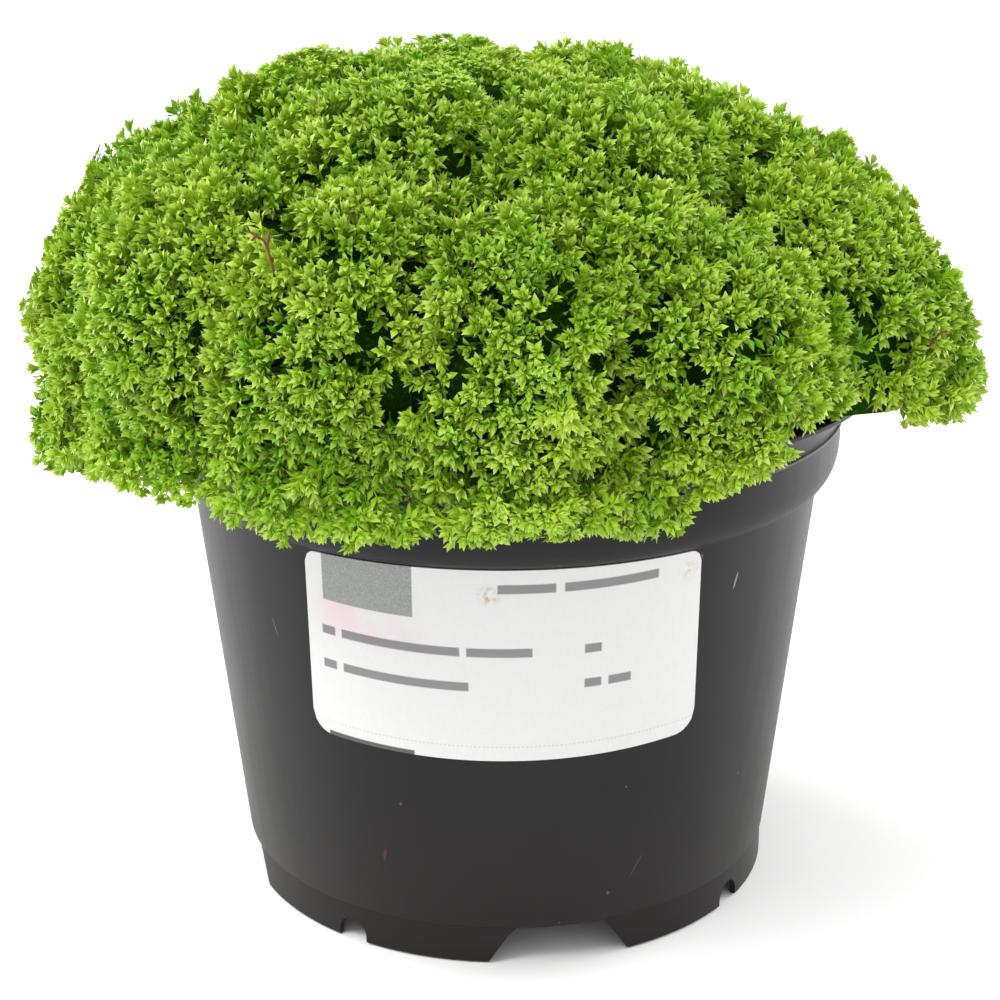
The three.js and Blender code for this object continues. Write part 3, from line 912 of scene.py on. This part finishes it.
# Creeping stems: how many, how far out and how slanted in their bundle, how deep rooted and how long.
CREEPING_STEMS = 7
BUNDLE = 0.9
BUNDLE_LEAN = 0.05
ROOTED = 11
CREEPING_LENGTH = 30
# Leaves bend softly over this distance from a limit; single tips may dip below the hem.
BEND_ROOM = 3.0
HEM_DIP = 2.0
POT_CLEAR = 0.6


def hold_back(values, limit):
    """Bends values back softly so that none passes the limit."""
    over = values - (limit - BEND_ROOM)
    bent = limit - BEND_ROOM * np.exp(-np.maximum(over, 0) / BEND_ROOM)
    return np.where(over > 0, bent, values)


def bend_clear(mesh):
    """Keeps the leaves inside the cushion's size and off the pot's lip."""
    points = np.empty(3 * len(mesh.vertices), np.float32)
    mesh.vertices.foreach_get("co", points)
    x, y, z = points.reshape(-1, 3).T.astype(float)
    y = hold_back(-hold_back(-y, REACH_LIMIT), REACH_LIMIT)
    x = hold_back(-hold_back(-x, np.interp(z, *zip(*LEFT_REACH))), np.interp(z, *zip(*RIGHT_REACH)))
    z = hold_back(z, TOP_LIMIT)
    z = -hold_back(-z, -np.maximum(LOWEST, hem_at(x, y) - HEM_DIP))
    clear_radius, clear_height = LIP_RADIUS + POT_CLEAR, POT_HEIGHT + POT_CLEAR
    out = np.hypot(x, y)
    inside = (clear_radius > out) & (clear_height > z)
    sideways = inside & (clear_radius - out < clear_height - z)
    upwards = inside & ~sideways
    stretch = np.where(sideways, clear_radius / np.maximum(out, 1e-6), 1.0)
    moved = np.stack([x * stretch, y * stretch, np.where(upwards, clear_height, z)], axis=1)
    mesh.vertices.foreach_set("co", moved.astype(np.float32).ravel())


def nod(point):
    """Which way sprays nod: down, and away from the middle of the cushion."""
    return Vector((point.x, point.y, 0)) * (NOD_OUT / REACH_LIMIT) - Vector((0, 0, NOD_DOWN))


def lifted(root, axis, reach):
    """The axis, turned up until a spray on it clears the hem."""
    for _ in range(LIFT_TRIES):
        tip = root + axis * reach
        if tip.z > hem_at(tip.x, tip.y) + HEM_ROOM:
            break
        axis = (axis + Vector((0, 0, LIFT))).normalized()
    return axis


def leafy_mesh(clump, clumps, sprays, trailers, rng):
    """All the sprays of one clump, in millimetres."""
    bm = bmesh.new()
    count = round(4 * math.pi * clump.radius**2 / SPRAY_AREA)
    turn = Euler([rng.uniform(0, 6) for _ in range(3)])
    for direction in spiral(count):
        jitter = Vector([rng.uniform(-SPRAY_JITTER, SPRAY_JITTER) for _ in range(3)])
        direction = (direction + jitter).normalized()
        direction.rotate(turn)
        point = surface(clump, direction)
        if not is_open(clump, point, clumps):
            continue
        point = drawn_in(point)
        stray = Vector([rng.gauss(0, STRAY) for _ in range(3)])
        axis = (direction + nod(point) * rng.uniform(*NOD) + stray).normalized()
        depth = SPRAY_REACH * max(0.35, axis.dot(direction)) - rng.uniform(*SPRAY_RISE)
        face = Vector([rng.uniform(-1, 1) for _ in range(3)])
        root = point - direction * depth
        place = aimed(root, lifted(root, axis, SPRAY_REACH), face)
        plant(bm, rng.choice(sprays), place, rng.random())
    if clump.outer:
        add_trailers(bm, clump, clumps, trailers, rng)
    mesh = bpy.data.meshes.new("leafy")
    bm.to_mesh(mesh)
    bm.free()
    bend_clear(mesh)
    return mesh


def add_trailers(bm, clump, clumps, trailers, rng):
    """Looser sprays that lean out over the lip."""
    outwards = Vector((clump.centre.x, clump.centre.y, 0)).normalized()
    for _ in range(TRAILERS):
        direction = (outwards + Vector([rng.gauss(0, 0.5), rng.gauss(0, 0.5), 0])).normalized()
        point = surface(clump, direction)
        point.z = float(hem_at(point.x, point.y)) + TRAILER_LOW + TRAILER_SPAN * rng.random() ** 2
        if is_covered(clump, point, clumps, TRAILER_OVERLAP):
            continue
        stray = Vector([rng.gauss(0, TRAILER_STRAY) for _ in range(3)])
        axis = (direction * rng.uniform(0.4, 1.0) - Vector((0, 0, 0.7)) + stray).normalized()
        face = direction - axis * axis.dot(direction)
        root = point - axis * rng.uniform(*TRAILER_DEPTH) - direction * TRAILER_INSET
        place = aimed(root, lifted(root, axis, TRAILER_REACH), face)
        plant(bm, rng.choice(trailers), place, rng.random())


def add_core(bm, clump):
    """A dark core of painted shade that shows in the gaps between the sprays, flat where it lies across the
    lip.
    """
    middle = Matrix.Translation(clump.centre)
    made = bmesh.ops.create_icosphere(bm, subdivisions=3, radius=clump.radius - CORE_DEPTH, matrix=middle)
    for vert in made["verts"]:
        away = (vert.co - clump.centre).normalized()
        vert.co += away * CORE_BUMP * noise.noise(vert.co / CORE_BUMP_SIZE)
        vert.co.z = max(vert.co.z, CORE_FLOOR)
    return made["verts"]


def add_creeping_stems(bm, clump, rng):
    """A bundle of thin stems from the root's hole in the soil up into the heart."""
    made = []
    for _ in range(CREEPING_STEMS):
        x, y = rng.uniform(-BUNDLE, BUNDLE), rng.uniform(-BUNDLE, BUNDLE)
        foot = Matrix.Translation(clump.root + Vector((x, y, -ROOTED)))
        turns = rng.uniform(-BUNDLE_LEAN, BUNDLE_LEAN), rng.uniform(-BUNDLE_LEAN, BUNDLE_LEAN), 0
        lean = Euler(turns).to_matrix().to_4x4()
        made += bmesh.ops.create_cone(
            bm, cap_ends=True, segments=6, radius1=0.42, radius2=0.3, depth=CREEPING_LENGTH,
            matrix=foot @ lean @ Matrix.Translation((0, 0, CREEPING_LENGTH / 2)),
        )["verts"]
    return made


def make_clump(clump, clumps, sprays, trailers, finishes, number):
    """One piece: the clump's sprays, its dark core of painted shade and its creeping stems."""
    rng = random.Random(number + GROWTH_SEED)
    leafy = leafy_mesh(clump, clumps, sprays, trailers, rng)
    bm = bmesh.new()
    bm.from_mesh(leafy)
    bpy.data.meshes.remove(leafy)
    for index, verts in ((1, add_core(bm, clump)), (2, add_creeping_stems(bm, clump, rng))):
        for face in {face for vert in verts for face in vert.link_faces}:
            face.material_index = index
    return settle(clump.node.replace("clump", "sprays"), bm, finishes, [clump.node])


# ---- Dry stems --------------------------------------------------------------------------------

# A withered stem that stands out of the cushion on the left, and a scrap of one on the right.
DRY_STEMS = [
    [
        (-33.1, -67.0, 123.0), (-33.2, -69.5, 126.5), (-33.8, -70.0, 129.3), (-34.3, -70.0, 130.6),
        (-35.4, -70.0, 131.4), (-36.6, -69.5, 131.9),
    ],
    [(-33.9, -70.0, 129.8), (-33.5, -69.5, 131.8)],
    [(-35.4, -70.0, 131.4), (-36.0, -70.0, 130.7)],
    [(67.0, -41.5, 107.0), (67.4, -43.5, 108.4), (67.9, -44.5, 109.8), (69.1, -44.0, 110.1)],
]
DRY_RADIUS = 0.22


def make_dry_stems(finish):
    """The withered stems, a short rod for each stretch between bends."""
    bm = bmesh.new()
    for bends in DRY_STEMS:
        for start, end in zip(bends, bends[1:]):
            start, end = Vector(start), Vector(end)
            middle = Matrix.Translation((start + end) / 2)
            bmesh.ops.create_cone(
                bm, cap_ends=True, segments=7, radius1=DRY_RADIUS, radius2=DRY_RADIUS * 0.8,
                depth=(end - start).length + DRY_RADIUS, matrix=middle @ along_line(start, end),
            )
    return settle("dry_stems", bm, [finish], [])


# ---- Light, floor and camera --------------------------------------------------------------------


def make_camera():
    """Looks down a little on the labelled front."""
    data = bpy.data.cameras.new("camera")
    data.lens = 80.2
    data.sensor_width = 36
    data.clip_start, data.clip_end = 0.05, 20
    camera = bpy.data.objects.new("camera", data)
    right = Vector((1.0, 0.0012, -0.0038))
    up = Vector((0.0032, 0.3265, 0.9452))
    back = Vector((0.0024, -0.9452, 0.3265))
    turn = Matrix((right, up, back)).transposed().to_4x4()
    camera.matrix_world = Matrix.Translation((0, -0.3825, 0.1993)) @ turn
    bpy.context.scene.collection.objects.link(camera)
    bpy.context.scene.camera = camera


def softbox(name, place, aim, size, power):
    """A square soft light that faces a point."""
    data = bpy.data.lights.new(name, "AREA")
    data.shape, data.size, data.energy = "SQUARE", size, power
    light = bpy.data.objects.new(name, data)
    turn = (Vector(aim) - Vector(place)).to_track_quat("-Z", "Y").to_matrix().to_4x4()
    light.matrix_world = Matrix.Translation(place) @ turn
    bpy.context.scene.collection.objects.link(light)


def make_studio():
    """A pale floor, a white surround, a key light and a light behind each edge of the pot."""
    bm = bmesh.new()
    bmesh.ops.create_grid(bm, x_segments=1, y_segments=1, size=3.0)
    mesh = bpy.data.meshes.new("floor")
    bm.to_mesh(mesh)
    bm.free()
    mesh.materials.append(floor_finish())
    floor = bpy.data.objects.new("floor", mesh)
    floor.location.z = -0.0002
    bpy.context.scene.collection.objects.link(floor)
    floor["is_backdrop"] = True
    world = bpy.data.worlds.new("studio")
    world.use_nodes = True
    surround = world.node_tree.nodes["Background"]
    surround.inputs["Color"].default_value = (1, 1, 1, 1)
    surround.inputs["Strength"].default_value = 1.0
    bpy.context.scene.world = world
    softbox("key", (-0.55, -0.4, 1.0), (0, 0, 0.1), 0.5, 8.0)
    softbox("left_edge", (-0.8, 0.45, 0.25), (0, 0, 0.05), 0.6, 9.0)
    softbox("right_edge", (0.8, 0.45, 0.25), (0, 0, 0.05), 0.6, 11.0)
    bpy.context.scene.view_settings.view_transform = "Standard"


# ---- The plant ----------------------------------------------------------------------------------

make_camera()
make_studio()
make_pot(pot_finish())
make_label(label_finish())
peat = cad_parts["growing_medium"]
peat.data.materials.clear()
peat.data.materials.append(peat_finish())

clumps = all_clumps()
sprays = make_sprays(*SPRAY_KIND)
trailers = make_sprays(*TRAILER_KIND)
finishes = [leafy_finish(), shade_finish(), stem_finish()]
for number, clump in enumerate(clumps):
    make_clump(clump, clumps, sprays, trailers, finishes, number)
make_dry_stems(dry_finish())
for mesh in sprays + trailers:
    bpy.data.meshes.remove(mesh)

boxes = {"cad": CAD_BOX, "visual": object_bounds()}
size = {name: [list(corner) for corner in box] for name, box in boxes.items()}
